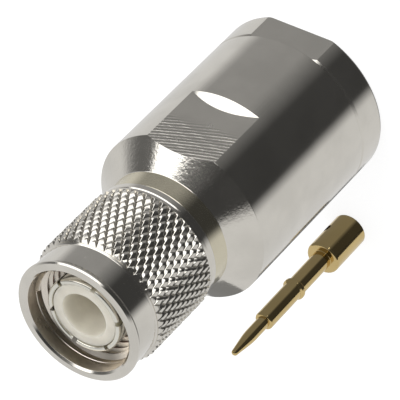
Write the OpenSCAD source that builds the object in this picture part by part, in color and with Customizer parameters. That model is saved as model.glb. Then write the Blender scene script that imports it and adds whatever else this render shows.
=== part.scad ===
// TNC cable plug for thick coaxial cable, standing on its cable end, mating face up.
// The centre pin lies loose beside it, standing on its solder cup.
// All sizes are in millimetres. The origin is on the plug's axis, at its rear face.

/* [Body shell] */
// Wall of the shell outside the clamp nut's thread
shell_wall = 1.63; // [1.2:0.01:2.2]
// Length of the cylindrical shell, from the seam to the cone
shell_len = 18; // [17:0.5:20]
// Length of the cone between shell and neck
cone_len = 2.4; // [1.8:0.1:3]
// Diameter of the neck behind the coupling nut
neck_d = 13.2; // [12.4:0.1:13.8]
// Length of the neck
neck_len = 1.85; // [1.2:0.05:2.6]
// Depth of the two wrench flats, on shell and clamp nut
flat_depth = 0.8; // [0.5:0.05:1]
// Distance from the seam to the rear end of the body's flats
flat_back = 10.2; // [8:0.2:12]
// Length over which the rear end of a flat runs out
flat_run_out = 1; // [0.5:0.1:1.5]

/* [Spigot] */
// Diameter of the spigot that carries the coupling nut
spigot_d = 10.5; // [10.3:0.05:10.7]
// Length of the spigot in front of the neck
spigot_len = 5.25; // [4.8:0.05:5.8]
// Distance from the neck to the snap ring's groove
ring_back = 2.5; // [1.5:0.1:3]
// Axial thickness of the snap ring
ring_w = 0.9; // [0.6:0.05:1.2]
// Radial width of the snap ring
ring_h = 0.85; // [0.7:0.05:0.9]
// Depth of the snap ring's groove in the spigot
ring_groove = 0.4; // [0.3:0.05:0.45]
// Opening of the snap ring, in degrees
ring_gap = 24; // [10:2:50]

/* [Coupling nut] */
// Length of the coupling nut
nut_len = 13.35; // [12.8:0.05:14]
// Free play between the coupling nut and the neck
nut_float = 0.12; // [0.05:0.01:0.2]
// Diameter of the lip round the mouth
lip_d = 13.44; // [13.3:0.02:13.8]
// Width of the lip
lip_w = 0.45; // [0.3:0.05:0.8]
// Diameter of the plain collar behind the lip
collar_d = 13.1; // [12.9:0.02:13.2]
// Distance from the mating face to the knurl
knurl_set = 3.5; // [2.5:0.1:4.5]
// Length of the knurl
knurl_len = 8.7; // [7:0.1:9]
// Diameter over the knurl's points
knurl_d = 14.1; // [13.9:0.05:14.6]
// Depth of the knurl
knurl_depth = 0.34; // [0.2:0.02:0.4]
// Number of knurl points round the nut
knurl_count = 48; // [36:1:60]
// Angle of the knurl's grooves to the axis
knurl_angle = 30; // [25:1:45]
// Diameter of the plain land behind the knurl
land_d = 13.56; // [13.3:0.02:13.7]

/* [Coupling thread] */
// Inside diameter of the coupling thread, at its crests
thread_minor_d = 10.26; // [10.16:0.02:10.4]
// Diameter of the plain mouth in front of the thread
mouth_d = 11.3; // [11.1:0.05:11.5]
// Depth of the plain mouth
mouth_depth = 1.6; // [1:0.1:2.4]
// Chamfer at the edge of the mouth
mouth_chamfer = 0.27; // [0.1:0.01:0.4]
// Diameter of the relief behind the thread
relief_d = 11.5; // [11.3:0.05:11.7]
// Length of the relief in front of the gasket
relief_front = 0.3; // [0.1:0.1:1]

/* [Outer contact] */
// Outside diameter of the slotted contact
contact_d = 8.1; // [8:0.02:8.3]
// Inside diameter of the slotted contact
contact_bore = 7.1; // [7.02:0.02:7.3]
// How far the contact reaches in front of the spigot
contact_reach = 7.15; // [6.4:0.05:7.8]
// Number of slots
slot_count = 6; // [4:1:8]
// Width of a slot
slot_w = 0.5; // [0.3:0.05:0.8]
// Turn of the slots about the axis, in degrees
slot_turn = 12.5; // [0:0.5:60]
// Diameter of the contact's hub, inside the interface gasket
hub_d = 8.48; // [8.44:0.02:8.6]
// Diameter of the contact's root, inside the spigot
root_d = 8.7; // [8.4:0.02:8.9]
// Length of the contact's root
root_len = 4.8; // [4:0.1:5.5]

/* [Insulators] */
// Diameter of both insulators
insulator_d = 7; // [6.8:0.02:7]
// Diameter of the recess in the front insulator
recess_d = 4.83; // [4.5:0.02:5]
// Depth of the recess
recess_depth = 5.2; // [4:0.1:6]
// Length of the front insulator
front_len = 10.6; // [9.5:0.1:11.5]
// Length of the rear insulator
rear_len = 5; // [4:0.1:6]

/* [Gaskets] */
// Thickness of the interface gasket
gasket_h = 1; // [0.7:0.05:1.4]
// Thickness of the cable gasket
cable_gasket_h = 3.2; // [2.5:0.1:4]
// Height of the ridge that bites into the cable gasket
ridge_h = 0.7; // [0.4:0.1:1]
// Width of that ridge at its foot
ridge_w = 1.1; // [0.8:0.1:1.4]

/* [Cable clamp] */
// Bore for the cable, in clamp nut, washer and gasket
cable_bore = 10.6; // [10.2:0.05:12]
// Width of the cable gasket's ring, from its bore to its outside
gasket_w = 1.75; // [1.5:0.05:2.4]
// Small diameter of the conical seat for the braid
seat_d = 8.8; // [8.2:0.1:9.6]
// Length of the conical seat
seat_len = 3.2; // [2.6:0.1:3.8]
// Room for the folded braid between clamp and seat
braid_gap = 0.4; // [0.2:0.05:0.6]
// Distance from the clamp's nose to the rear insulator
nose_gap = 0.6; // [0.3:0.1:1]
// Diameter of the clamp's bore, for the cable's dielectric
core_bore = 7.5; // [7.1:0.05:7.8]
// Thickness of the clamp's flange
flange_h = 2.2; // [1.6:0.1:2.8]
// Thickness of the slip washer
washer_h = 1; // [0.6:0.1:1.4]

/* [Clamp nut] */
// Length of the clamp nut's head
head_len = 3.5; // [2.8:0.1:4.5]
// Chamfer on the head's edges
head_chamfer = 0.2; // [0.1:0.05:0.4]
// Radial step from the cavity out to the mean radius of the clamp nut's thread
clamp_thread_step = 0.47; // [0.3:0.01:0.6]
// Width of the undercut between thread and head
undercut_w = 0.8; // [0.5:0.1:1.2]
// Depth of that undercut
undercut_h = 0.4; // [0.2:0.05:0.6]

/* [Centre pin] */
// Distance of the pin from the plug, along X
pin_x = -6; // [-9:0.1:-5]
// Distance of the pin from the plug, along Y
pin_y = 14.7; // [14:0.1:18]
// Diameter of the solder barrel
barrel_d = 3.64; // [3.4:0.02:4]
// Length of the solder barrel
barrel_len = 5.3; // [4.8:0.1:6.5]
// Diameter of the solder cup's bore
cup_d = 2.4; // [2.2:0.05:2.8]
// Depth of the solder cup
cup_depth = 4.3; // [3.5:0.1:4.5]
// Diameter of the solder hole
solder_hole_d = 1; // [0.7:0.05:1.3]
// Height of the solder hole above the cup's end
solder_hole_z = 2.25; // [1.5:0.05:3]
// Direction in which the solder hole faces, in degrees
solder_hole_turn = 318; // [300:1:340]
// Diameter of the shaft
shaft_d = 2; // [1.8:0.02:2.2]
// Length of the shaft, from barrel to shoulder
shaft_len = 11.05; // [10:0.05:12]
// Diameter of the locating bead
bead_d = 2.44; // [2.3:0.02:2.7]
// Width of the locating bead
bead_w = 0.7; // [0.5:0.05:0.9]
// Diameter of the contact tip
tip_d = 1.34; // [1.2:0.02:1.5]
// Length of the cylindrical part of the tip
tip_len = 3.2; // [2.6:0.1:4]
// Length of the tapered point
point_len = 2.35; // [1.8:0.05:3]
// Diameter at the end of the point
point_d = 0.5; // [0.3:0.05:0.8]

/* [Fits] */
// Radial clearance where one piece turns on another
run_clear = 0.06; // [0.03:0.01:0.1]
// Clearance between pieces that are seated or pressed together
seat_clear = 0.04; // [0.02:0.01:0.06]
// Radial clearance of the clamp parts in their cavity
stack_clear = 0.15; // [0.08:0.01:0.25]

/* [Hidden] */
$fn = 96;

// Overrun of a cut past the surface it cuts
over = 1;

// Diameters from the cable outwards: cavity, clamp thread, shell and its flats
cavity_d = cable_bore + 2 * (gasket_w + stack_clear);
clamp_thread_d = cavity_d + 2 * clamp_thread_step;
shell_d = clamp_thread_d + 2 * shell_wall;
flat_af = shell_d - 2 * flat_depth;

// Heights of the body, from the seam up
body_z = head_len + seat_clear;
cone_z = body_z + shell_len;
neck_z = cone_z + cone_len;
shoulder_z = neck_z + neck_len;
spigot_z = shoulder_z + spigot_len;
flat_z = body_z + flat_back;

// Heights of the coupling nut and of what it holds
nut_z = shoulder_z + nut_float;
face_z = nut_z + nut_len;
ring_z = shoulder_z + ring_back;
relief_z = spigot_z - ring_w / 2;
thread_z = spigot_z + gasket_h + relief_front;
mouth_z = face_z - mouth_depth;
knurl_z = face_z - knurl_set - knurl_len;
knurl_top_z = face_z - knurl_set;

// Heights of the contact and the insulators
contact_z = spigot_z + contact_reach;
root_z = spigot_z - root_len;
front_z = contact_z - front_len;
bead_clear = 0.05;
rear_z = front_z - bead_w - bead_clear - rear_len;

// Heights of the clamp parts, from the braid seat down
seat_z = rear_z;
seat_foot_z = seat_z - seat_len;
nose_z = seat_z - nose_gap;
flange_top_z = seat_foot_z - braid_gap;
flange_z = flange_top_z - flange_h;
gasket_top_z = flange_z - seat_clear;
gasket_z = gasket_top_z - cable_gasket_h;
washer_z = gasket_z - seat_clear - washer_h;
clamp_face_z = washer_z - seat_clear;
clamp_bore_z = clamp_face_z + seat_clear + washer_h / 2;

// Radii that several pieces share
shell_r = shell_d / 2;
spigot_r = spigot_d / 2;
nut_bore_r = spigot_r + run_clear;
ring_r = spigot_r - ring_groove + seat_clear;
ring_out_r = ring_r + ring_h;
nut_groove_r = ring_out_r + run_clear;
knurl_r = knurl_d / 2;
valley_r = knurl_r - knurl_depth;
insulator_bore_r = insulator_d / 2 + seat_clear;
stack_r = cavity_d / 2 - stack_clear;
gasket_bore_r = hub_d / 2 + seat_clear;
male_r = clamp_thread_d / 2 - run_clear / 2;
female_r = clamp_thread_d / 2 + run_clear / 2;
pin_bore_r = shaft_d / 2 + seat_clear;

// The knurl's grid: two columns a point, and rows that keep the groove angle
knurl_cols = 2 * knurl_count;
knurl_row = PI * knurl_d / knurl_cols / tan(knurl_angle);
knurl_rows = 2 * round(knurl_len / knurl_row / 2);

// Points of an arc about (x, y), of radius r, from angle a to angle b
function arc(x, y, r, a, b, steps = 6) =
    [for (i = [0:steps]) let (t = a + (b - a) * i / steps) [x + r * cos(t), y + r * sin(t)]];

// Radius of the braid seat at height z
function seat_r_at(z) =
    seat_d / 2 + (cavity_d - seat_d) / 2 * min(1, (seat_z - z) / seat_len);

module turned(profile) {
    rotate_extrude() polygon(profile);
}

// Everything outside two parallel flats, from height z0 up to z1
module flat_cuts(z0, z1) {
    for (side = [0, 1])
        mirror([0, side, 0])
            translate([-shell_d, flat_af / 2, z0])
                cube([2 * shell_d, shell_d, z1 - z0]);
}

// Radius of the knurl's grid point in a row and column: points stand where the sum is odd,
// groove crossings lie where it is even, and the two end rows are chamfered down
function knurl_point_r(row, col) =
    (row + col) % 2 == 0 ? valley_r
        : (row == 0 || row == knurl_rows) ? valley_r + knurl_depth / 4
        : knurl_r;

module knurl_band() {
    inner_r = valley_r - knurl_depth;
    row_h = knurl_len / knurl_rows;
    first_in = (knurl_rows + 1) * knurl_cols;
    outer = [for (row = [0:knurl_rows]) for (col = [0:knurl_cols - 1])
        let (r = knurl_point_r(row, col), a = 360 * col / knurl_cols)
            [r * cos(a), r * sin(a), knurl_z + row * row_h]];
    inner = [for (z = [knurl_z, knurl_top_z]) for (col = [0:knurl_cols - 1])
        let (a = 360 * col / knurl_cols) [inner_r * cos(a), inner_r * sin(a), z]];
    grid = [for (row = [0:knurl_rows - 1]) for (col = [0:knurl_cols - 1])
        let (next = (col + 1) % knurl_cols,
             a = row * knurl_cols + col, b = row * knurl_cols + next,
             c = b + knurl_cols, d = a + knurl_cols)
            each (row + col) % 2 == 0 ? [[a, d, c], [a, c, b]] : [[a, d, b], [b, d, c]]];
    ends = [for (col = [0:knurl_cols - 1])
        let (next = (col + 1) % knurl_cols,
             top = knurl_rows * knurl_cols,
             p = first_in + col, p1 = first_in + next,
             q = p + knurl_cols, q1 = p1 + knurl_cols)
            each [[p, p1, q1], [p, q1, q],
                  [top + col, q, q1], [top + col, q1, top + next],
                  [col, next, p1], [col, p1, p]]];
    polyhedron(points = concat(outer, inner), faces = concat(grid, ends), convexity = 10);
}

// Coupling nut: lip, collar, knurl and land outside, mouth, thread, relief and grooves inside
module coupling_nut() {
    lip_r = lip_d / 2;
    collar_r = collar_d / 2;
    land_r = land_d / 2;
    core_r = valley_r - knurl_depth / 5;
    edge = lip_w / 3;
    lead = (mouth_d - thread_minor_d) / 2;
    groove_z = ring_z - seat_clear;
    groove_top_z = ring_z + ring_w + seat_clear;
    color("gainsboro") {
        turned([
            [mouth_d / 2 + mouth_chamfer, face_z],
            [lip_r - edge, face_z],
            [lip_r, face_z - edge],
            [lip_r, face_z - lip_w],
            [collar_r, face_z - lip_w - (lip_r - collar_r)],
            [collar_r, knurl_top_z],
            [core_r, knurl_top_z],
            [core_r, knurl_z],
            [land_r, knurl_z],
            [land_r, nut_z + edge],
            [land_r - edge, nut_z],
            [nut_bore_r, nut_z],
            [nut_bore_r, groove_z],
            [nut_groove_r, groove_z],
            [nut_groove_r, groove_top_z],
            [nut_bore_r, groove_top_z],
            [nut_bore_r, relief_z],
            [relief_d / 2, relief_z],
            [relief_d / 2, thread_z],
            [thread_minor_d / 2, thread_z],
            [thread_minor_d / 2, mouth_z - lead],
            [mouth_d / 2, mouth_z],
            [mouth_d / 2, face_z - mouth_chamfer]
        ]);
        knurl_band();
    }
}

// Split snap ring that locks the coupling nut to the spigot and lets it turn
module snap_ring() {
    color("darkgray")
        rotate([0, 0, ring_gap / 2])
            rotate_extrude(angle = 360 - ring_gap)
                translate([ring_r, ring_z]) square([ring_h, ring_w]);
}

// Flat silicone ring on the spigot's end, against which the jack seals
module interface_gasket() {
    color("firebrick")
        turned([
            [gasket_bore_r, spigot_z + seat_clear],
            [spigot_r, spigot_z + seat_clear],
            [spigot_r, spigot_z + gasket_h],
            [gasket_bore_r, spigot_z + gasket_h]
        ]);
}

// Outer contact: springy fingers that stand on a hub, pressed into the spigot
module outer_contact() {
    bore_r = contact_bore / 2;
    tip_r = (contact_d - contact_bore) / 5;
    finger_z = spigot_z + gasket_h;
    color("silver")
        difference() {
            turned(concat(
                [[bore_r, root_z + seat_clear], [root_d / 2, root_z + seat_clear],
                 [root_d / 2, spigot_z], [hub_d / 2, spigot_z],
                 [hub_d / 2, finger_z], [contact_d / 2, finger_z]],
                arc(contact_d / 2 - tip_r, contact_z - tip_r, tip_r, 0, 90, 4),
                [[bore_r, contact_z]]
            ));
            for (i = [0:slot_count - 1])
                rotate([0, 0, slot_turn + 360 * i / slot_count])
                    translate([0, -slot_w / 2, finger_z])
                        cube([contact_d, slot_w, contact_z - finger_z + over]);
        }
}

// Front insulator, with the recess that takes the jack's insulator
module front_insulator() {
    floor_z = contact_z - recess_depth;
    color("whitesmoke")
        turned([
            [pin_bore_r, front_z],
            [insulator_d / 2, front_z],
            [insulator_d / 2, contact_z],
            [recess_d / 2, contact_z],
            [recess_d / 2, floor_z],
            [pin_bore_r, floor_z]
        ]);
}

// Rear insulator, which traps the pin's bead against the front one
module rear_insulator() {
    color("whitesmoke")
        turned([
            [pin_bore_r, rear_z],
            [insulator_d / 2, rear_z],
            [insulator_d / 2, rear_z + rear_len],
            [pin_bore_r, rear_z + rear_len]
        ]);
}

// Main body: shell, cone, neck and spigot in one turned piece, with two milled flats
module main_body() {
    edge = head_chamfer / 2;
    groove_r = spigot_r - ring_groove;
    groove_z = ring_z - seat_clear;
    groove_top_z = ring_z + ring_w + seat_clear;
    lead = head_chamfer + run_clear;
    slope = (shell_r - flat_af / 2) / flat_run_out;
    color("gainsboro")
        difference() {
            turned([
                [female_r + lead, body_z],
                [shell_r - edge, body_z],
                [shell_r, body_z + edge],
                [shell_r, cone_z],
                [neck_d / 2, neck_z],
                [neck_d / 2, shoulder_z],
                [spigot_r, shoulder_z],
                [spigot_r, groove_z],
                [groove_r, groove_z],
                [groove_r, groove_top_z],
                [spigot_r, groove_top_z],
                [spigot_r, spigot_z],
                [root_d / 2 + seat_clear, spigot_z],
                [root_d / 2 + seat_clear, root_z],
                [insulator_bore_r, root_z],
                [insulator_bore_r, seat_z],
                [seat_d / 2, seat_z],
                [cavity_d / 2, seat_foot_z],
                [cavity_d / 2, clamp_bore_z],
                [female_r, clamp_bore_z],
                [female_r, body_z + lead]
            ]);
            difference() {
                flat_cuts(flat_z, shoulder_z);
                translate([0, 0, flat_z - over])
                    cylinder(h = flat_run_out + over, r1 = shell_r + slope * over, r2 = flat_af / 2);
            }
        }
}

// Braid clamp: a conical nose for the folded braid, and a ridge for the cable gasket
module braid_clamp() {
    bore_r = core_bore / 2;
    mid_r = (cable_bore / 2 + stack_r) / 2;
    nose_r = cavity_d / 2 - braid_gap;
    color("gainsboro")
        turned([
            [bore_r, flange_z],
            [mid_r - ridge_w / 2, flange_z],
            [mid_r, flange_z - ridge_h],
            [mid_r + ridge_w / 2, flange_z],
            [stack_r, flange_z],
            [stack_r, flange_top_z],
            [nose_r, flange_top_z],
            [nose_r, seat_foot_z],
            [seat_r_at(nose_z) - braid_gap, nose_z],
            [bore_r, nose_z]
        ]);
}

// Cable gasket with the groove that the braid clamp's ridge bites into
module cable_gasket() {
    mid_r = (cable_bore / 2 + stack_r) / 2;
    color("dimgray")
        turned([
            [cable_bore / 2, gasket_z],
            [stack_r, gasket_z],
            [stack_r, gasket_top_z],
            [mid_r + ridge_w / 2, gasket_top_z],
            [mid_r, gasket_top_z - ridge_h],
            [mid_r - ridge_w / 2, gasket_top_z],
            [cable_bore / 2, gasket_top_z]
        ]);
}

// Slip washer, which keeps the turning nut from twisting the gasket
module slip_washer() {
    color("gainsboro")
        turned([
            [cable_bore / 2, washer_z],
            [stack_r, washer_z],
            [stack_r, washer_z + washer_h],
            [cable_bore / 2, washer_z + washer_h]
        ]);
}

// Clamp nut: flatted head and threaded sleeve, bored through for the cable
module clamp_nut() {
    lead = head_chamfer;
    color("gainsboro")
        difference() {
            turned([
                [cable_bore / 2, 0],
                [shell_r - head_chamfer, 0],
                [shell_r, head_chamfer],
                [shell_r, head_len - head_chamfer],
                [shell_r - head_chamfer, head_len],
                [male_r - undercut_h, head_len],
                [male_r - undercut_h, head_len + undercut_w - lead],
                [male_r, head_len + undercut_w + undercut_h - lead],
                [male_r, clamp_face_z - lead],
                [male_r - lead, clamp_face_z],
                [cable_bore / 2, clamp_face_z]
            ]);
            flat_cuts(-over, head_len);
        }
}

// Centre pin: solder barrel with cup, shaft with bead, and tapered contact tip
module centre_pin() {
    barrel_r = barrel_d / 2;
    shaft_r = shaft_d / 2;
    bead_r = bead_d / 2;
    round_r = (barrel_d - shaft_d) / 4;
    step_r = (shaft_d - tip_d) / 2;
    shoulder = barrel_len + shaft_len;
    bead_z = shoulder - (front_len - recess_depth) - bead_w;
    bead_edge = (bead_d - shaft_d) / 2;
    point_z = shoulder + tip_len;
    end_z = point_z + point_len;
    color("goldenrod")
        translate([pin_x, pin_y, 0])
            difference() {
                turned(concat(
                    [[0, cup_depth], [cup_d / 2, cup_depth], [cup_d / 2, 0], [barrel_r, 0]],
                    arc(barrel_r - round_r, barrel_len - round_r, round_r, 0, 90),
                    [[shaft_r, barrel_len], [shaft_r, bead_z],
                     [bead_r, bead_z + bead_edge], [bead_r, bead_z + bead_w - bead_edge],
                     [shaft_r, bead_z + bead_w]],
                    arc(shaft_r - step_r, shoulder - step_r, step_r, 0, 90),
                    [[tip_d / 2, shoulder], [tip_d / 2, point_z]],
                    arc(0, end_z - point_d / 2, point_d / 2, 15, 90)
                ));
                translate([0, 0, solder_hole_z])
                    rotate([0, 90, solder_hole_turn])
                        cylinder(h = barrel_d, d = solder_hole_d);
            }
}

coupling_nut();
snap_ring();
interface_gasket();
outer_contact();
front_insulator();
rear_insulator();
main_body();
braid_clamp();
cable_gasket();
slip_washer();
clamp_nut();
centre_pin();
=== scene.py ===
import bpy
from math import atan2, cos, hypot, pi, radians, sin, tan
from mathutils import Matrix, Vector


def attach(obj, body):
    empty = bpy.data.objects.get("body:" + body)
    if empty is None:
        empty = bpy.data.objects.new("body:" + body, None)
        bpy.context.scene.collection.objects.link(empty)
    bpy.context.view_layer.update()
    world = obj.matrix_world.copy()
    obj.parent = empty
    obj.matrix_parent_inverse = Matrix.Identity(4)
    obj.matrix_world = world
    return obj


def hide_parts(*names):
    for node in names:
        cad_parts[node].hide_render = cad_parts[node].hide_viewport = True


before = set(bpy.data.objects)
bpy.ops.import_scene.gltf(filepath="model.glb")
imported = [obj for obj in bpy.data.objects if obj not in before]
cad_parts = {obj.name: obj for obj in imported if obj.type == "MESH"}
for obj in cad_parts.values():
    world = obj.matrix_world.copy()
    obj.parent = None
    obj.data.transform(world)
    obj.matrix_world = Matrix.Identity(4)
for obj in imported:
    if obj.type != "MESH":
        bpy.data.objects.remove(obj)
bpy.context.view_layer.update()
mm = 0.001

# Studio: the camera at the photograph's angle, a white table, and a room of four plain greys that
# the polished metal mirrors, with one soft box at the left. Matt pieces see a plain pale room.
scene = bpy.context.scene
scene.view_settings.view_transform = "Standard"

bpy.ops.object.select_all(action="DESELECT")
bpy.ops.object.camera_add()
camera = bpy.context.object
camera.name = "camera"
camera.data.sensor_width = 36
camera.data.lens = 329.7
camera.data.clip_start, camera.data.clip_end = 0.01, 10
image_right = Vector((-0.838438, 0.006386, -0.544960))
image_up = Vector((0.352100, -0.756890, -0.550585))
towards_camera = Vector((-0.415990, -0.653511, 0.632357))
camera.matrix_world = (Matrix.Translation((-0.14633, -0.22969, 0.24078))
                       @ Matrix((image_right, image_up, towards_camera)).transposed().to_4x4())
scene.camera = camera


class Flow:
    """The output of a node. Sums, differences, products and shares of flows add Math nodes."""

    def __init__(self, tree, socket=None):
        self.tree, self.socket = tree, socket

    def node(self, kind, settings={}, inputs={}, out=0):
        """Adds a node, sets it up, fills or links its sockets, and gives one of its outputs."""
        made = self.tree.nodes.new(kind)
        for name, value in settings.items():
            if name == "stops":
                ramp = made.color_ramp
                ramp.elements.remove(ramp.elements[1])
                for i, (place, tone) in enumerate(value):
                    stop = ramp.elements[0] if i == 0 else ramp.elements.new(place)
                    stop.position, stop.color = place, (*tone, 1)
            else:
                setattr(made, name, value)
        for end, value in inputs.items():
            if isinstance(value, Flow):
                self.tree.links.new(value.socket, made.inputs[end])
            else:
                made.inputs[end].default_value = value
        return Flow(self.tree, made.outputs[out] if made.outputs else None)

    def maths(self, operation, *values):
        return self.node("ShaderNodeMath", {"operation": operation}, dict(enumerate(values)))

    def __add__(self, other): return self.maths("ADD", self, other)
    def __radd__(self, other): return self.maths("ADD", other, self)
    def __sub__(self, other): return self.maths("SUBTRACT", self, other)
    def __rsub__(self, other): return self.maths("SUBTRACT", other, self)
    def __mul__(self, other): return self.maths("MULTIPLY", self, other)
    def __rmul__(self, other): return self.maths("MULTIPLY", other, self)
    def __truediv__(self, other): return self.maths("DIVIDE", self, other)


room = bpy.data.worlds.new("studio_room")
scene.world = room
room.use_nodes = True
room.node_tree.nodes.clear()
sky = Flow(room.node_tree)
aim = sky.node("ShaderNodeSeparateXYZ", {}, {0: sky.node("ShaderNodeTexCoord", out="Generated")})
aim_x, aim_y, aim_z = (Flow(room.node_tree, end) for end in aim.socket.node.outputs)
# how far round the table a direction points: 0.5 is towards the camera, more is to its right
front = radians(237.5)
towards = aim_x * cos(front) + aim_y * sin(front)
sideways = aim_x * cos(front - pi / 2) + aim_y * sin(front - pi / 2)
around = sky.maths("ARCTAN2", sideways, towards) / (2 * pi) + 0.5
degrees = (around - 0.5) * 360


def panels(tones):
    """Panels round the table: a ramp from (degrees from the camera, grey) pairs."""
    return sky.node("ShaderNodeValToRGB",
                    {"stops": [(a / 360 + 0.5, (grey, grey, grey)) for a, grey in tones]},
                    {0: around})


# four plain greys: pale walls, a grey screen at the left, a black one in front, and shade above
wall, screen, black, shade = 0.75, 0.35, 0.05, 0.15
low = panels([(-180, wall), (-115, wall), (-95, screen), (-35, screen), (0, black), (50, black),
              (65, wall), (180, wall)])
high = panels([(-180, wall), (-135, wall), (-125, shade), (-40, shade), (0, black), (50, black),
               (65, wall), (180, wall)])


def step(value, start, end):
    """0 below start, 1 above end, eased between."""
    return value.node("ShaderNodeMapRange", {"interpolation_type": "SMOOTHSTEP"},
                      {"Value": value, "From Min": start, "From Max": end})


def blend(share, first, second):
    """Mixes two colours, from the first at 0 to the second at 1."""
    return share.node("ShaderNodeMix", {"data_type": "RGBA"}, {0: share, 6: first, 7: second}, 2)


mirrored = blend(step(aim_z, 0.10, 0.42), low, high)
# straight down lies the plug's own shade on the table
mirrored = blend(step(aim_z, -0.80, -0.68), (shade, shade, shade, 1), mirrored)
# one rectangular soft box at the left, from below level to half way up
box = (step(degrees, -97, -90) * (1 - step(degrees, -20, -10)) * step(aim_z, -0.36, -0.30)
       * (1 - step(aim_z, 0.74, 0.77)))
mirrored = blend(box, mirrored, (2.0, 2.0, 2.0, 1))
ray = sky.node("ShaderNodeLightPath", out="Is Glossy Ray")
passed = Flow(room.node_tree, ray.socket.node.outputs["Is Transmission Ray"])
seen = Flow(room.node_tree, ray.socket.node.outputs["Is Camera Ray"])
plain_room = sky.node("ShaderNodeBackground", {}, {0: (0.86, 0.86, 0.86, 1), 1: 1.0})
panel_room = sky.node("ShaderNodeBackground", {}, {0: mirrored, 1: 1.0})
white_room = sky.node("ShaderNodeBackground", {}, {0: (1, 1, 1, 1), 1: 1.0})
lit = sky.node("ShaderNodeMixShader", {},
               {0: sky.maths("MAXIMUM", ray, passed), 1: plain_room, 2: panel_room})
lit = sky.node("ShaderNodeMixShader", {}, {0: seen, 1: lit, 2: white_room})
sky.node("ShaderNodeOutputWorld", {}, {0: lit})

bpy.ops.object.select_all(action="DESELECT")
bpy.ops.object.light_add(type="AREA", location=(0.20, -0.30, 0.50))
lamp = bpy.context.object
lamp.name = "soft_box"
lamp.data.shape, lamp.data.size = "SQUARE", 0.35
lamp.data.energy = 1.6
lamp.rotation_euler = (-lamp.location).to_track_quat("-Z", "Y").to_euler()
lamp.visible_glossy = False

bpy.ops.object.select_all(action="DESELECT")
bpy.ops.mesh.primitive_plane_add(size=4, location=(0, 0, -0.02 * mm))
table = bpy.context.object
table.name = "table"
table_white = bpy.data.materials.new("table_white")
table_white.use_nodes = True
table_white.node_tree.nodes.clear()
top = Flow(table_white.node_tree)
ray = top.node("ShaderNodeLightPath", out="Is Camera Ray")
mirror_ray = Flow(table_white.node_tree, ray.socket.node.outputs["Is Glossy Ray"])
paper = top.node("ShaderNodeBsdfDiffuse", {}, {0: (0.92, 0.92, 0.92, 1)})
glow = top.node("ShaderNodeEmission", {}, {0: (1, 1, 1, 1), 1: 1.15})
shown = top.node("ShaderNodeMixShader", {}, {0: 0.72, 1: paper, 2: glow})
shown = top.node("ShaderNodeMixShader", {}, {0: ray, 1: paper, 2: shown})
# polished walls mirror the low panels of the room, not the table top
clear = top.node("ShaderNodeBsdfTransparent")
shown = top.node("ShaderNodeMixShader", {}, {0: mirror_ray, 1: shown, 2: clear})
top.node("ShaderNodeOutputMaterial", {}, {0: shown})
table.data.materials.append(table_white)


# Main body: brass bar turned to shell, cone, neck and spigot, bored from behind for the cable
# clamp, with two flats milled for a 17 mm spanner, and bright nickel plate all over.
def rounded(corners, arc_steps=5):
    """A turned profile in mm from (radius, height, edge radius) corners, with its edges eased."""
    points = []
    for i, (r, z, ease) in enumerate(corners):
        here = Vector((r, z))
        if not ease:
            points.append(here)
            continue
        before = Vector(corners[i - 1][:2]) - here
        after = Vector(corners[(i + 1) % len(corners)][:2]) - here
        a, b = before.normalized(), after.normalized()
        half = a.angle(b) / 2
        reach = ease / tan(half)
        centre = here + (a + b).normalized() * ease / sin(half)
        start, end = here + a * reach, here + b * reach
        if before.length > 1.3 * reach + 0.02:
            points.append(start + a * 0.25 * reach)
        spoke, last = start - centre, end - centre
        turn = atan2(spoke.x * last.y - spoke.y * last.x, spoke.dot(last))
        for k in range(arc_steps + 1):
            t = turn * k / arc_steps
            points.append(centre + Vector((spoke.x * cos(t) - spoke.y * sin(t),
                                           spoke.x * sin(t) + spoke.y * cos(t))))
        if after.length > 1.3 * reach + 0.02:
            points.append(end + b * 0.25 * reach)
    return points


def turned(name, profile, steps=192):
    """Draws a closed profile of (radius, height) points in mm and spins it about the axis."""
    bpy.ops.object.select_all(action="DESELECT")
    bpy.ops.mesh.primitive_circle_add(vertices=len(profile), radius=mm)
    piece = bpy.context.object
    piece.name = piece.data.name = name
    for corner, (r, z) in zip(piece.data.vertices, profile):
        corner.co = (r * mm, 0, z * mm)
    bpy.ops.object.mode_set(mode="EDIT")
    bpy.ops.mesh.select_all(action="SELECT")
    bpy.ops.mesh.spin(steps=steps, angle=2 * pi, center=(0, 0, 0), axis=(0, 0, 1))
    bpy.ops.mesh.select_all(action="SELECT")
    bpy.ops.mesh.remove_doubles(threshold=2e-7)
    bpy.ops.mesh.dissolve_degenerate(threshold=1e-8)
    bpy.ops.mesh.delete_loose(use_verts=True, use_edges=True, use_faces=False)
    bpy.ops.mesh.select_all(action="SELECT")
    bpy.ops.mesh.normals_make_consistent(inside=False)
    bpy.ops.object.mode_set(mode="OBJECT")
    return piece


def cut(piece, tool):
    """Cuts another solid, which is used up, away from a piece."""
    change = piece.modifiers.new("cut", "BOOLEAN")
    change.operation, change.solver, change.object = "DIFFERENCE", "EXACT", tool
    bpy.ops.object.select_all(action="DESELECT")
    bpy.context.view_layer.objects.active = piece
    piece.select_set(True)
    bpy.ops.object.modifier_apply(modifier=change.name)
    bpy.data.objects.remove(tool)


def together(pieces, name):
    """Joins finished shapes into one piece."""
    bpy.ops.object.select_all(action="DESELECT")
    for piece in pieces:
        piece.select_set(True)
    bpy.context.view_layer.objects.active = pieces[0]
    bpy.ops.object.join()
    pieces[0].name = pieces[0].data.name = name
    return pieces[0]


def smooth(piece, angle=32):
    """Shades a piece smooth, apart from its sharp edges."""
    bpy.ops.object.select_all(action="DESELECT")
    bpy.context.view_layer.objects.active = piece
    piece.select_set(True)
    bpy.ops.object.shade_smooth_by_angle(angle=radians(angle))


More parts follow.
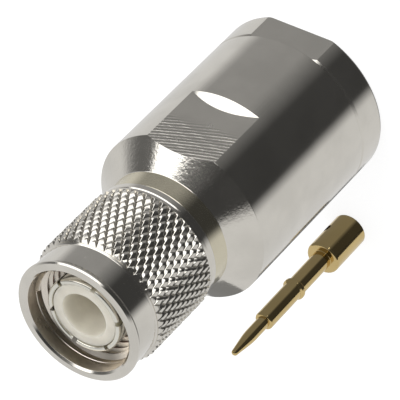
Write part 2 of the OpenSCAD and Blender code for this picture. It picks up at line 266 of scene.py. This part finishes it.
def metal(name, tint, rough, ring_depth=0.35, scratch=0.5, marks=None):
    """Plated metal: faint turning rings, cloudy gloss, a few fine scratches and specks."""
    made = bpy.data.materials.new(name)
    made.use_nodes = True
    made.node_tree.nodes.clear()
    start = Flow(made.node_tree)
    place = start.node("ShaderNodeTexCoord", out="Object")
    parts = start.node("ShaderNodeSeparateXYZ", {}, {0: place})
    x, y, z = (Flow(made.node_tree, end) for end in parts.socket.node.outputs)
    # rings left by the lathe tool, which run round the axis
    rings = start.node("ShaderNodeTexNoise", {"noise_dimensions": "1D"},
                       {"W": z, "Scale": 9000, "Detail": 3, "Roughness": 0.7})
    cloud = start.node("ShaderNodeTexNoise", {}, {"Vector": place, "Scale": 260, "Detail": 4})
    grain = start.node("ShaderNodeTexNoise", {},
                       {"Vector": place, "Scale": 9000, "Detail": 2, "Roughness": 0.6})
    speck = start.node("ShaderNodeTexVoronoi", {"feature": "F1"},
                       {"Vector": place, "Scale": 420, "Randomness": 1})
    specks = 1 - step(speck, 0.035, 0.06)
    # sparse hair-line scratches: thin bands of a stretched noise, only inside a few patches
    long_way = start.node("ShaderNodeMapping", {},
                          {"Vector": place, "Rotation": (0.5, 0.3, 0.9), "Scale": (1, 0.08, 1)})
    hair = start.node("ShaderNodeTexNoise", {}, {"Vector": long_way, "Scale": 900, "Detail": 1})
    patch = start.node("ShaderNodeTexNoise", {}, {"Vector": place, "Scale": 320, "Detail": 1})
    hairs = (1 - step(start.maths("ABSOLUTE", hair - 0.5), 0.004, 0.012)) * step(patch, 0.56, 0.66)
    wear = start.maths("MAXIMUM", specks, hairs * scratch)
    tone = blend(step(cloud, 0.3, 0.7), tuple(c * 0.91 for c in tint) + (1,), tint + (1,))
    tone = blend(wear * 0.35, tone, tuple(min(1, c * 1.12) for c in tint) + (1,))
    gloss = rough * (0.75 + 0.5 * cloud) + wear * 0.12 + 0.03 * rings
    height = rings * ring_depth + grain * 0.12 - wear * 0.6
    if marks:
        height = height + marks(start, x, y, z)
    bump = start.node("ShaderNodeBump", {}, {"Strength": 0.35, "Distance": 0.0000012,
                                             "Height": height})
    skin = start.node("ShaderNodeBsdfPrincipled", {},
                      {"Base Color": tone, "Metallic": 1.0, "Roughness": gloss, "Normal": bump})
    start.node("ShaderNodeOutputMaterial", {}, {0: skin})
    return made


nickel = metal("bright_nickel", (0.74, 0.71, 0.65), 0.11)

seam_z, shell_top, neck_z, shoulder_z, spigot_z = 3.54, 21.54, 23.94, 25.79, 31.04
shell_r, half_af = 9.3, 8.5
body = turned("plug_body_shell", rounded([
    (7.96, seam_z, 0), (9.14, seam_z, 0), (shell_r, seam_z + 0.14, 0.03),
    (shell_r, shell_top, 0.06), (6.70, neck_z - 0.06, 0.10), (6.48, shoulder_z, 0.10),
    (5.25, shoulder_z, 0), (5.25, 28.25, 0), (4.85, 28.25, 0), (4.85, 29.23, 0),
    (5.25, 29.23, 0), (5.25, spigot_z, 0.05), (4.39, spigot_z, 0), (4.39, 26.24, 0),
    (3.54, 26.24, 0), (3.54, 21.84, 0), (4.4, 21.84, 0), (7.2, 18.64, 0),
    (7.2, 12.26, 0), (7.7, 12.26, 0), (7.7, seam_z + 0.26, 0)]))

# the mill's swept slab, less the round shoulder at the rear end of each flat
flat_z, run_out = 13.74, 1.0
slope = (shell_r - half_af) / run_out
slabs = []
for side in (-1, 1):
    bpy.ops.object.select_all(action="DESELECT")
    bpy.ops.mesh.primitive_cube_add(
        size=1, location=(0, side * (half_af + 2) * mm, (flat_z + shoulder_z) / 2 * mm),
        scale=(30 * mm, 4 * mm, (shoulder_z - flat_z) * mm))
    slab = bpy.context.object
    bpy.ops.object.transform_apply(location=True, rotation=True, scale=True)
    shoulder = turned("run_out", [(0, flat_z - 1), (shell_r + slope, flat_z - 1),
                                  (half_af, flat_z + run_out), (0, flat_z + run_out)], 256)
    cut(slab, shoulder)
    slabs.append(slab)
cut(body, together(slabs, "mill_sweep"))
body.data.materials.append(nickel)


def feed_marks(start, x, y, z):
    """Height of the milling cutter's feed marks, which cross a flat on the slant and fade out."""
    waver = start.node("ShaderNodeTexNoise", {"noise_dimensions": "1D"},
                       {"W": z * 900 + x * 260, "Scale": 1.0, "Detail": 2})
    across = z / mm - 0.42 * (x / mm) - 0.010 * (x / mm) * (x / mm) + 0.16 * waver
    wave = start.maths("SINE", across * (2 * pi / 0.46))
    wave = start.maths("SIGN", wave) * start.maths("POWER", start.maths("ABSOLUTE", wave), 0.6)
    fine = start.maths("SINE", across * (2 * pi / 0.17) + 4 * waver)
    shown = step(z / mm - 0.1 * (x / mm), 16.8, 18.6)
    return (wave * 30 + fine * 7) * shown * (0.2 + 1.2 * waver)


milled = metal("milled_nickel", (0.74, 0.71, 0.65), 0.2, ring_depth=0.1, marks=feed_marks)
body.data.materials.append(milled)
for face in body.data.polygons:
    if abs(face.normal.y) > 0.999 and abs(abs(face.center.y) - half_af * mm) < 2e-6:
        face.material_index = 1
# the neck's plate is a little duller; its yellower, darker tint is painted reflection of the warm
# light bounced between the cone and the nut
body.data.materials.append(metal("turned_neck_painted_reflection", (0.70, 0.65, 0.51), 0.15))
for face in body.data.polygons:
    r, z = hypot(*face.center[:2]) / mm, face.center.z / mm
    if 6.3 < r < 6.72 and neck_z - 0.04 < z < shoulder_z - 0.05:
        face.material_index = 2


def chatter(start, x, y, z):
    """Height of the fine chatter that the form tool left on the cone."""
    place = start.node("ShaderNodeCombineXYZ", {}, {0: x, 1: y, 2: z})
    return 26 * start.node("ShaderNodeTexNoise", {},
                          {"Vector": place, "Scale": 3200, "Detail": 2, "Roughness": 0.6})


body.data.materials.append(metal("turned_cone", (0.74, 0.71, 0.65), 0.10, marks=chatter))
for face in body.data.polygons:
    if 0.6 < face.normal.z < 0.85 and shell_top * mm < face.center.z < neck_z * mm:
        face.material_index = 3
smooth(body, 21)
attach(body, "plug_body")
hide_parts("main_body")

# Clamp nut: turned brass, nickel plated, with a flatted head behind the seam and a 1 mm thread in
# front that screws into the body and squeezes the gasket on the cable.
head_z = 3.5
clamp = turned("clamp_nut_threaded", rounded([
    (5.3, 0, 0.1), (shell_r, 0, 0.2), (shell_r, head_z - 0.2, 0.04), (9.12, head_z, 0.02),
    (7.24, head_z, 0), (7.24, 4.3, 0), (7.40, 4.46, 0), (7.40, 11.5, 0), (7.18, 11.72, 0),
    (5.3, 11.72, 0.1)]))
sides = []
for side in (-1, 1):
    bpy.ops.object.select_all(action="DESELECT")
    bpy.ops.mesh.primitive_cube_add(size=1, location=(0, side * (half_af + 2) * mm, 1.25 * mm),
                                    scale=(30 * mm, 4 * mm, 4.5 * mm))
    bpy.ops.object.transform_apply(location=True, rotation=True, scale=True)
    sides.append(bpy.context.object)
cut(clamp, together(sides, "mill_sweep"))


def ridge(name, section, pitch, start_z, turns, fade=None, steps=96):
    """A right-hand thread ridge: its section, (radius, height) in mm, swept up the helix."""
    bpy.ops.object.select_all(action="DESELECT")
    bpy.ops.mesh.primitive_circle_add(vertices=len(section), radius=mm)
    made = bpy.context.object
    made.name = made.data.name = name
    for corner, (r, z) in zip(made.data.vertices, section):
        corner.co = (r * mm, 0, (start_z + z) * mm)
    sweep = made.modifiers.new("helix", "SCREW")
    sweep.axis, sweep.angle, sweep.screw_offset = "Z", 2 * pi, pitch * mm
    sweep.iterations, sweep.steps, sweep.render_steps = turns, steps, steps
    sweep.use_merge_vertices, sweep.use_normal_calculate = False, False
    bpy.ops.object.modifier_apply(modifier=sweep.name)
    bpy.ops.object.mode_set(mode="EDIT")
    bpy.ops.mesh.select_mode(type="EDGE")
    bpy.ops.mesh.select_all(action="DESELECT")
    bpy.ops.mesh.select_non_manifold(extend=False)
    bpy.ops.mesh.edge_face_add()
    bpy.ops.mesh.select_mode(type="VERT")
    bpy.ops.mesh.select_all(action="SELECT")
    bpy.ops.mesh.normals_make_consistent(inside=False)
    bpy.ops.object.mode_set(mode="OBJECT")
    if fade:
        for corner in made.data.vertices:
            r, z = hypot(corner.co.x, corner.co.y) / mm, corner.co.z / mm
            share = fade(r, z) / r
            corner.co.x *= share
            corner.co.y *= share
    return made


def clamp_thread_end(r, z):
    """The thread starts under a chamfer at the front and runs into the undercut."""
    return min(r, max(7.2, 7.25 + (11.7 - z)), max(7.2, 7.2 + (z - 4.2)))


clamp_ridge = ridge("clamp_ridge", [(7.30, -0.46), (7.42, -0.42), (7.86, -0.08), (7.86, 0.08),
                                    (7.42, 0.42), (7.30, 0.46)], 1.0, 4.1, 8, clamp_thread_end)
clamp = together([clamp, clamp_ridge], "clamp_nut_threaded")
clamp.data.materials.append(nickel)
clamp.data.materials.append(metal("milled_head", (0.74, 0.71, 0.65), 0.16, ring_depth=0.1))
for face in clamp.data.polygons:
    if abs(face.normal.y) > 0.999 and abs(abs(face.center.y) - half_af * mm) < 2e-6:
        face.material_index = 1
smooth(clamp, 21)
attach(clamp, "cable_end")
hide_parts("clamp_nut")

# Coupling nut: turned brass, nickel plated, with a narrow lip, a plain collar, a diamond knurl for
# the fingers and a plain land outside, and the coupling thread inside its plain mouth.
nut_z, face_z, knurl_z, knurl_top = 25.91, 39.26, 27.06, 35.76
valley_r, crest_r = 6.71, 7.05
nut = turned("coupling_nut_knurled", rounded([
    (5.88, face_z, 0.08), (6.58, face_z - 0.08, 0.03), (6.72, face_z - 0.23, 0.03),
    (6.72, 38.82, 0.06), (6.55, 38.60, 0.22), (6.55, knurl_top + 0.19, 0.06),
    (6.70, knurl_top + 0.04, 0), (6.64, knurl_top - 0.5, 0), (6.64, knurl_z + 0.5, 0),
    (6.69, knurl_z, 0), (6.70, 26.72, 0.03), (6.78, 26.62, 0.04),
    (6.78, nut_z + 0.12, 0.06), (6.66, nut_z, 0.03), (5.31, nut_z, 0.05), (5.31, 28.25, 0),
    (5.8, 28.25, 0), (5.8, 29.23, 0), (5.31, 29.23, 0), (5.31, 30.59, 0.04),
    (5.75, 30.59, 0.05), (5.75, 32.34, 0.05), (5.62, 32.5, 0), (5.62, 37.66, 0),
    (5.65, 37.70, 0.0), (5.65, 39.04, 0.03)]))


def mouth_thread_end(r, z):
    """The thread's crests are cut back by the lead at the mouth and by the relief behind."""
    return max(r, min(5.64, 5.13 + (z - 37.12)), min(5.64, 5.13 + (32.8 - z)))


mouth_ridge = ridge("mouth_ridge", [(5.66, 0.42), (5.60, 0.38), (5.13, 0.07), (5.13, -0.07),
                                    (5.60, -0.38), (5.66, -0.42)], 0.907, 32.0, 6,
                    mouth_thread_end)

# one knurl point: a three by three grid pulled into a lozenge between two deep and two less deep
# grooves, with a flat top that leans a little, and flanks wide towards the mouth, steep behind
columns, rows = 48, 11
half_w, half_h = pi / columns, (knurl_top - knurl_z) / rows
depth, cross_depth = crest_r - valley_r, 0.23
top_a, top_b, top_lean = (0.14, 0.82), (-0.60, 0.34), 0.098
bpy.ops.object.select_all(action="DESELECT")
bpy.ops.mesh.primitive_grid_add(x_subdivisions=3, y_subdivisions=3, size=2)
point = bpy.context.object
point.name = "knurl_point"
for corner in point.data.vertices:
    a, b = corner.co.x, corner.co.y
    on_cross, on_deep = abs(a) > 0.9, abs(b) > 0.9
    rise = 0 if on_deep else depth - (cross_depth if on_cross else 0)
    if not on_deep:
        b = top_b[b > 0]
        if on_cross:
            b += (1 if b > 0 else -1) * (1 - abs(b)) * cross_depth / depth
    if not on_cross:
        a = top_a[a > 0]
        if not on_deep:
            rise -= top_lean * (a + b - top_a[0] - top_b[0]) / 2
    turn_by, r = half_w * (a + b) / 2, valley_r + rise
    corner.co = (r * cos(turn_by) * mm, r * sin(turn_by) * mm, half_h * (b - a) / 2 * mm)

# forty-eight points round the nut, then every row raised and turned by half a point
pivots = []
for turn_by, lift in ((2 * half_w, 0), (half_w, half_h)):
    bpy.ops.object.select_all(action="DESELECT")
    bpy.ops.object.empty_add(location=(0, 0, lift * mm), rotation=(0, 0, turn_by))
    pivots.append(bpy.context.object)
for count, pivot in ((columns, pivots[0]), (rows + 1, pivots[1])):
    copies = point.modifiers.new("copies", "ARRAY")
    copies.count, copies.use_relative_offset, copies.use_object_offset = count, False, True
    copies.offset_object = pivot
bpy.ops.object.select_all(action="DESELECT")
bpy.context.view_layer.objects.active = point
point.select_set(True)
bpy.context.view_layer.update()
for copies in list(point.modifiers):
    bpy.ops.object.modifier_apply(modifier=copies.name)
for pivot in pivots:
    bpy.data.objects.remove(pivot)
for corner in point.data.vertices:
    corner.co.z += knurl_z * mm
# no two points came out quite alike: their tops differ by a hundredth of a millimetre or so
for i, corner in enumerate(point.data.vertices):
    r = hypot(corner.co.x, corner.co.y)
    if r > (crest_r - 0.01) * mm:
        share = 1 - (0.010 + 0.010 * sin(12.9 * (i // 16)) + 0.005 * sin(78.2 * i)) * mm / r
        corner.co.x *= share
        corner.co.y *= share
bpy.ops.object.mode_set(mode="EDIT")
bpy.ops.mesh.select_all(action="SELECT")
bpy.ops.mesh.remove_doubles(threshold=5e-7)
bpy.ops.mesh.select_all(action="DESELECT")
bpy.ops.mesh.edges_select_sharp(sharpness=radians(20))
bpy.ops.mesh.bevel(offset=0.025 * mm, segments=1, clamp_overlap=True)
for height, beyond in ((knurl_top, "up"), (knurl_top - 0.12, ""), (knurl_top - 0.24, ""),
                       (knurl_z + 0.24, ""), (knurl_z + 0.12, ""), (knurl_z, "down")):
    bpy.ops.mesh.select_all(action="SELECT")
    bpy.ops.mesh.bisect(plane_co=(0, 0, height * mm), plane_no=(0, 0, 1), threshold=1e-8,
                        clear_outer=beyond == "up", clear_inner=beyond == "down")
bpy.ops.object.mode_set(mode="OBJECT")
for corner in point.data.vertices:
    r, z = hypot(corner.co.x, corner.co.y) / mm, corner.co.z / mm
    most = min(6.74 + knurl_top - z, 6.76 + 1.2 * (z - knurl_z), crest_r)
    if r > most:
        corner.co.x *= most / r
        corner.co.y *= most / r
# close both ends down into the nut's wall
bpy.ops.object.mode_set(mode="EDIT")
bpy.ops.mesh.select_mode(type="EDGE")
bpy.ops.mesh.select_all(action="DESELECT")
bpy.ops.mesh.select_non_manifold(extend=False)
bpy.ops.mesh.extrude_edges_move()
bpy.ops.transform.resize(value=(0.93, 0.93, 1), center_override=(0, 0, 0))
bpy.ops.mesh.bridge_edge_loops()
bpy.ops.mesh.select_mode(type="VERT")
bpy.ops.mesh.select_all(action="SELECT")
bpy.ops.mesh.normals_make_consistent(inside=False)
bpy.ops.object.mode_set(mode="OBJECT")
smooth(point, 22)
smooth(nut)
smooth(mouth_ridge)
nut = together([nut, mouth_ridge, point], "coupling_nut_knurled")
nut.data.materials.append(nickel)
# the mouth and its thread were left as bored, so they are satin; their paler, warmer tint is
# painted light, standing in for light bounced round inside the mouth
nut.data.materials.append(metal("bored_nickel_painted_light", (0.86, 0.80, 0.71), 0.27))
for face in nut.data.polygons:
    if hypot(*face.center[:2]) < 5.70 * mm and face.center.z > 31 * mm:
        face.material_index = 1
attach(nut, "coupling")
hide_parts("coupling_nut")

# Outer contact: a spring-brass sleeve, silver plated, sawn into six fingers and turned round at
# the tip, which springs into the jack. Its root is pressed into the spigot.
contact_z, finger_z = 38.19, 32.04
contact = turned("outer_contact_slotted", rounded([
    (3.55, 26.28, 0), (4.35, 26.28, 0), (4.35, spigot_z, 0), (4.24, spigot_z, 0),
    (4.24, finger_z, 0), (4.05, finger_z, 0), (4.05, contact_z, 0.23), (3.55, contact_z, 0.13)]))
saws = []
for k in range(6):
    turn_by = radians(12.5 + 60 * k)
    bpy.ops.object.select_all(action="DESELECT")
    bpy.ops.mesh.primitive_cube_add(
        size=1, location=(4 * cos(turn_by) * mm, 4 * sin(turn_by) * mm, (finger_z + 4) * mm),
        rotation=(0, 0, turn_by), scale=(2 * mm, 0.5 * mm, 8 * mm))
    bpy.ops.object.transform_apply(location=True, rotation=True, scale=True)
    saws.append(bpy.context.object)
cut(contact, together(saws, "saw_blades"))
contact.data.materials.append(metal("silver_plate", (0.83, 0.81, 0.73), 0.14))
smooth(contact)
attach(contact, "plug_body")
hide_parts("outer_contact")

# Front insulator: a turned PTFE plug inside the contact, milky and a little waxy, with the round
# recess for the jack's insulator and a small hole for the pin in its floor.
recess_z, front_z = contact_z - 5.2, 27.59
insulator = turned("front_insulator_ptfe", rounded([
    (1.04, front_z, 0), (3.5, front_z, 0), (3.5, contact_z - 0.14, 0.12),
    (2.415, contact_z - 0.14, 0.1), (2.415, recess_z, 0.1), (1.04, recess_z, 0.05)]))


def ptfe_skin(name, painted_brightness=1):
    """PTFE: milky white that light soaks into, with a fine grain and a waxy surface."""
    made = bpy.data.materials.new(name)
    made.use_nodes = True
    made.node_tree.nodes.clear()
    start = Flow(made.node_tree)
    place = start.node("ShaderNodeTexCoord", out="Object")
    cloud = start.node("ShaderNodeTexNoise", {}, {"Vector": place, "Scale": 500, "Detail": 3})
    grain = start.node("ShaderNodeTexNoise", {}, {"Vector": place, "Scale": 7000, "Detail": 2})
    # a factor above 1 makes the PTFE paler, as painted light
    tone = blend(step(cloud, 0.3, 0.7),
                 (0.52 * painted_brightness, 0.49 * painted_brightness, 0.42 * painted_brightness, 1),
                 (0.59 * painted_brightness, 0.56 * painted_brightness, 0.48 * painted_brightness, 1))
    bump = start.node("ShaderNodeBump", {}, {"Strength": 0.3, "Distance": 0.000003,
                                             "Height": grain})
    skin = start.node("ShaderNodeBsdfPrincipled", {},
                      {"Base Color": tone, "Roughness": 0.42 + 0.12 * cloud, "Normal": bump,
                       "Subsurface Weight": 0.7, "Subsurface Radius": (0.0028, 0.0028, 0.0026),
                       "Subsurface Scale": 1.0, "IOR": 1.36})
    start.node("ShaderNodeOutputMaterial", {}, {0: skin})
    return made


ptfe = ptfe_skin("milky_ptfe")
insulator.data.materials.append(ptfe)
# the recess's wall and floor get a paler copy of the PTFE: painted light that brightens the recess
insulator.data.materials.append(ptfe_skin("recess_ptfe_painted_light", 1.3))
for face in insulator.data.polygons:
    if hypot(*face.center[:2]) < 2.42 * mm and face.center.z > (recess_z - 0.1) * mm:
        face.material_index = 1
smooth(insulator)
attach(insulator, "plug_body")
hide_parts("front_insulator")

# Centre pin: turned brass, gold plated, with a bored barrel for solder and a cross hole, a shaft
# with a locating bead, and a thin tip with a long point. It stands loose beside the plug.
pin_x, pin_y = -6.0, 14.7
shoulder, bead_z = 16.35, 10.25
pin = turned("gold_centre_pin", rounded([
    (0, 4.3, 0), (1.2, 4.3, 0), (1.2, 0, 0.04), (1.82, 0, 0.06), (1.82, 5.3, 0.3),
    (1.0, 5.3, 0.06), (1.0, bead_z, 0.04), (1.22, bead_z + 0.2, 0.12), (1.22, bead_z + 0.5, 0.12),
    (1.0, bead_z + 0.7, 0.04), (1.0, shoulder, 0.25), (0.67, shoulder, 0.03),
    (0.67, 19.0, 9.0), (0.32, 21.66, 0.24), (0, 21.9, 0)]), 128)
for corner in pin.data.vertices:
    corner.co.x += pin_x * mm
    corner.co.y += pin_y * mm
bpy.ops.object.select_all(action="DESELECT")
hole_side = radians(318)
bpy.ops.mesh.primitive_cylinder_add(
    vertices=48, radius=0.5 * mm, depth=3 * mm, rotation=(0, pi / 2, hole_side),
    location=((pin_x + 1.6 * cos(hole_side)) * mm, (pin_y + 1.6 * sin(hole_side)) * mm, 2.25 * mm))
drill = bpy.context.object
bpy.ops.object.transform_apply(location=True, rotation=True, scale=True)
cut(pin, drill)
pin.data.materials.append(metal("gold_plate", (0.71, 0.54, 0.25), 0.11, ring_depth=0.15,
                                scratch=0.3))
smooth(pin)
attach(pin, "cable_end")
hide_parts("centre_pin")

# Two cards that only reflections see, which paint reflections of shade on the pin: a grey one
# between it and the plug, which hides each from the other and stands in for the plug's shaded
# side, and a black one at its right, which is clear from the plug's side and paints the pin's dark
# band.
for name, x, y, z, width, height, turn_by, tone in (
        ("grey_card", 2.04, -1.55, 9, 6.4, 30, 22.2, (0.25, 0.25, 0.25, 1)),
        ("black_card", -18.15, 1.46, -3, 18.1, 44, -22.5, (0.04, 0.04, 0.04, 1))):
    bpy.ops.object.select_all(action="DESELECT")
    bpy.ops.mesh.primitive_plane_add(
        size=1, location=((pin_x + x) * mm, (pin_y + y) * mm, z * mm),
        rotation=(pi / 2, 0, radians(turn_by)))
    card = bpy.context.object
    card.name = name
    card.scale = (width * mm, height * mm, 1)
    bpy.ops.object.transform_apply(location=True, rotation=True, scale=True)
    sheet = bpy.data.materials.new(name)
    sheet.use_nodes = True
    sheet.node_tree.nodes.clear()
    start = Flow(sheet.node_tree)
    shown = start.node("ShaderNodeEmission", {}, {0: tone, 1: 1.0})
    if name == "black_card":
        back = start.node("ShaderNodeNewGeometry", out="Backfacing")
        shown = start.node("ShaderNodeMixShader", {},
                           {0: back, 1: start.node("ShaderNodeBsdfTransparent"), 2: shown})
    start.node("ShaderNodeOutputMaterial", {}, {0: shown})
    card.data.materials.append(sheet)
    card.visible_camera = card.visible_diffuse = card.visible_transmission = False
    card.visible_shadow = False

# Parts inside the plug: spring-bronze snap ring, silicone gasket, rear insulator, braid clamp,
# cable gasket and slip washer, in their own finishes.
bronze = metal("spring_bronze", (0.62, 0.50, 0.36), 0.25)


def rubber(name, tint):
    """Moulded rubber: matt, with a fine pebble and a little bloom on the surface."""
    made = bpy.data.materials.new(name)
    made.use_nodes = True
    made.node_tree.nodes.clear()
    start = Flow(made.node_tree)
    place = start.node("ShaderNodeTexCoord", out="Object")
    cloud = start.node("ShaderNodeTexNoise", {}, {"Vector": place, "Scale": 600, "Detail": 4})
    grain = start.node("ShaderNodeTexNoise", {}, {"Vector": place, "Scale": 8000, "Detail": 2})
    tone = blend(step(cloud, 0.35, 0.7), tint + (1,), tuple(c * 1.15 + 0.02 for c in tint) + (1,))
    bump = start.node("ShaderNodeBump", {}, {"Strength": 0.4, "Distance": 0.000006,
                                             "Height": grain})
    skin = start.node("ShaderNodeBsdfPrincipled", {},
                      {"Base Color": tone, "Roughness": 0.55 + 0.2 * cloud, "Normal": bump})
    start.node("ShaderNodeOutputMaterial", {}, {0: skin})
    return made


for node, skin in (
        ("snap_ring", bronze), ("interface_gasket", rubber("red_silicone", (0.55, 0.14, 0.08))),
        ("rear_insulator", ptfe), ("braid_clamp", nickel),
        ("cable_gasket", rubber("black_rubber", (0.03, 0.03, 0.03))), ("slip_washer", nickel)):
    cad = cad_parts[node]
    if cad.material_slots:
        for place in cad.material_slots:
            place.material = skin
    else:
        cad.data.materials.append(skin)
